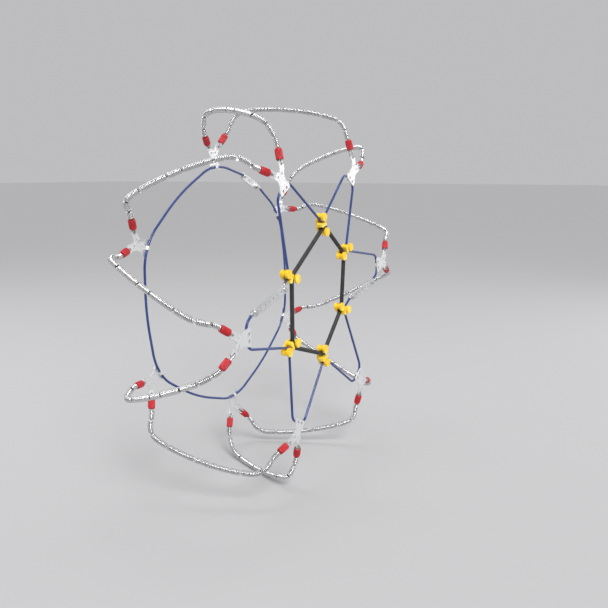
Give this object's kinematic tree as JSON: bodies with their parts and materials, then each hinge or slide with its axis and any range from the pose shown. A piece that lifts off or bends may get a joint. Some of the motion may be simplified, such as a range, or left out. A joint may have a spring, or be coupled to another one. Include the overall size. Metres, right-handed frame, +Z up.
{
  "type": "tire snow chains",
  "caption": "Cable snow chain in its fitted shape: coiled cross cables over the tread, Y-plates, blue side cables, adjusters, and a rubber ring with yellow hooks.",
  "frame": {"origin": "the wheel's centre, midway across the tread", "axes": "+Y along the wheel axis towards the inner side of the tyre, -Y towards the outer side, +Z up, +X to the right seen from outside"},
  "size_m": [0.8183, 0.2824, 0.8153],
  "materials": {
    "zinc_plate": "bright white zinc, satin",
    "coil_steel": "bright spring steel",
    "cable_steel": "stranded wire rope",
    "red_plastic": "satin moulded",
    "ferrule": "pressed",
    "yellow_plastic": "satin moulded",
    "ring_rubber": "matt black",
    "blue_sheath": "semi-gloss coating over wire rope",
    "stud_steel": "bright steel"
  },
  "bodies": {
    "chain": {"cable_eyes": "cable_steel", "crimp_ferrules": "ferrule", "cross_cables": "cable_steel", "inner_plate_1": "zinc_plate", "inner_plate_2": "zinc_plate", "inner_plate_3": "zinc_plate", "inner_plate_4": "zinc_plate", "inner_plate_5": "zinc_plate", "inner_plate_6": "zinc_plate", "inner_side_cable": "blue_sheath", "inner_sleeves": "red_plastic", "outer_plate_1": "zinc_plate", "outer_plate_2": "zinc_plate", "outer_plate_3": "zinc_plate", "outer_plate_4": "zinc_plate", "outer_plate_5": "zinc_plate", "outer_plate_6": "zinc_plate", "outer_side_cable_lower": "blue_sheath", "outer_side_cable_upper": "blue_sheath", "outer_sleeves": "red_plastic", "pivot_studs": "stud_steel", "tensioner_ring": "ring_rubber", "traction_coils_1": "coil_steel", "traction_coils_10": "coil_steel", "traction_coils_11": "coil_steel", "traction_coils_12": "coil_steel", "traction_coils_2": "coil_steel", "traction_coils_3": "coil_steel", "traction_coils_4": "coil_steel", "traction_coils_5": "coil_steel", "traction_coils_6": "coil_steel", "traction_coils_7": "coil_steel", "traction_coils_8": "coil_steel", "traction_coils_9": "coil_steel"},
    "roller_1": {"roller_coil_1": "coil_steel"},
    "roller_2": {"roller_coil_2": "coil_steel"},
    "roller_3": {"roller_coil_3": "coil_steel"},
    "roller_4": {"roller_coil_4": "coil_steel"},
    "roller_5": {"roller_coil_5": "coil_steel"},
    "roller_6": {"roller_coil_6": "coil_steel"},
    "roller_7": {"roller_coil_7": "coil_steel"},
    "roller_8": {"roller_coil_8": "coil_steel"},
    "roller_9": {"roller_coil_9": "coil_steel"},
    "roller_10": {"roller_coil_10": "coil_steel"},
    "roller_11": {"roller_coil_11": "coil_steel"},
    "roller_12": {"roller_coil_12": "coil_steel"},
    "hook_1": {"tensioner_hook_1": "yellow_plastic"},
    "hook_2": {"tensioner_hook_2": "yellow_plastic"},
    "hook_3": {"tensioner_hook_3": "yellow_plastic"},
    "hook_4": {"tensioner_hook_4": "yellow_plastic"},
    "hook_5": {"tensioner_hook_5": "yellow_plastic"},
    "hook_6": {"tensioner_hook_6": "yellow_plastic"},
    "adjuster_left": {"adjuster_left": "zinc_plate", "end_stud_left": "stud_steel"},
    "adjuster_right": {"adjuster_right": "zinc_plate", "end_stud_right": "stud_steel"},
    "inner_link": {"inner_link": "zinc_plate", "inner_end_stud": "stud_steel"}
  },
  "joints": [
    {"name": "roller_1_spin", "type": "hinge", "parent": "chain", "child": "roller_1", "pos_m": [-0.31093, 0, 0.26126], "axis": [-0.2908, 0.892, -0.3461], "continuous": true},
    {"name": "roller_2_spin", "type": "hinge", "parent": "chain", "child": "roller_2", "pos_m": [-0.13587, 0, 0.38278], "axis": [0.3663, 0.9214, 0.13], "continuous": true},
    {"name": "roller_3_spin", "type": "hinge", "parent": "chain", "child": "roller_3", "pos_m": [0.07797, 0, 0.39856], "axis": [-0.4448, 0.8914, 0.087], "continuous": true},
    {"name": "roller_4_spin", "type": "hinge", "parent": "chain", "child": "roller_4", "pos_m": [0.26735, 0, 0.30581], "axis": [0.2687, 0.9342, -0.2349], "continuous": true},
    {"name": "roller_5_spin", "type": "hinge", "parent": "chain", "child": "roller_5", "pos_m": [0.37674, 0, 0.15193], "axis": [-0.1193, 0.9478, 0.2958], "continuous": true},
    {"name": "roller_6_spin", "type": "hinge", "parent": "chain", "child": "roller_6", "pos_m": [0.40248, 0, -0.05412], "axis": [-0.0619, 0.8858, -0.46], "continuous": true},
    {"name": "roller_7_spin", "type": "hinge", "parent": "chain", "child": "roller_7", "pos_m": [0.31947, 0, -0.25085], "axis": [0.2289, 0.9288, 0.2915], "continuous": true},
    {"name": "roller_8_spin", "type": "hinge", "parent": "chain", "child": "roller_8", "pos_m": [0.15109, 0, -0.37698], "axis": [-0.4121, 0.896, -0.1652], "continuous": true},
    {"name": "roller_9_spin", "type": "hinge", "parent": "chain", "child": "roller_9", "pos_m": [-0.05993, 0, -0.40173], "axis": [0.3819, 0.9224, -0.057], "continuous": true},
    {"name": "roller_10_spin", "type": "hinge", "parent": "chain", "child": "roller_10", "pos_m": [-0.25841, 0, -0.31328], "axis": [-0.3623, 0.8829, 0.2988], "continuous": true},
    {"name": "roller_11_spin", "type": "hinge", "parent": "chain", "child": "roller_11", "pos_m": [-0.38124, 0, -0.14019], "axis": [0.1227, 0.9347, -0.3337], "continuous": true},
    {"name": "roller_12_spin", "type": "hinge", "parent": "chain", "child": "roller_12", "pos_m": [-0.40153, 0, 0.06108], "axis": [0.0637, 0.9058, 0.4189], "continuous": true},
    {"name": "hook_1_pull", "type": "slide", "parent": "chain", "child": "hook_1", "axis": [-0.3535, 0, 0.9354], "range_m": [-0.01, 0.012], "stiffness_N_per_m": 2000, "deforming": ["tensioner_ring", "outer_side_cable_upper"]},
    {"name": "hook_2_pull", "type": "slide", "parent": "chain", "child": "hook_2", "axis": [0.8625, 0, 0.506], "range_m": [-0.01, 0.012], "stiffness_N_per_m": 2000, "deforming": ["tensioner_ring", "outer_side_cable_upper"]},
    {"name": "hook_3_pull", "type": "slide", "parent": "chain", "child": "hook_3", "axis": [0.9444, 0, -0.3289], "range_m": [-0.01, 0.012], "stiffness_N_per_m": 2000, "deforming": ["tensioner_ring", "outer_side_cable_lower"]},
    {"name": "hook_4_pull", "type": "slide", "parent": "chain", "child": "hook_4", "axis": [0.2907, 0, -0.9568], "range_m": [-0.01, 0.012], "stiffness_N_per_m": 2000, "deforming": ["tensioner_ring", "outer_side_cable_lower"]},
    {"name": "hook_5_pull", "type": "slide", "parent": "chain", "child": "hook_5", "axis": [-0.9239, 0, -0.3827], "range_m": [-0.01, 0.012], "stiffness_N_per_m": 2000, "deforming": ["tensioner_ring", "outer_side_cable_lower"]},
    {"name": "hook_6_pull", "type": "slide", "parent": "chain", "child": "hook_6", "axis": [-0.9259, 0, 0.3778], "range_m": [-0.01, 0.012], "stiffness_N_per_m": 2000, "deforming": ["tensioner_ring", "outer_side_cable_upper"]},
    {"name": "adjuster_left_swing", "type": "hinge", "parent": "chain", "child": "adjuster_left", "pos_m": [-0.25884, -0.132, 0.00904], "axis": [0, -1, 0], "range_deg": [-3, 3], "stiffness_Nm_per_rad": 20, "deforming": ["outer_side_cable_upper", "outer_side_cable_lower"]},
    {"name": "adjuster_right_swing", "type": "hinge", "parent": "chain", "child": "adjuster_right", "pos_m": [0.233, -0.132, 0.00122], "axis": [0, -1, 0], "range_deg": [-3, 3], "stiffness_Nm_per_rad": 20, "deforming": ["outer_side_cable_upper", "outer_side_cable_lower"]},
    {"name": "inner_link_swing", "type": "hinge", "parent": "chain", "child": "inner_link", "pos_m": [0.08725, 0.132, 0.2534], "axis": [0, -1, 0], "range_deg": [-3, 3], "stiffness_Nm_per_rad": 20, "deforming": ["inner_side_cable"]}
  ]
}
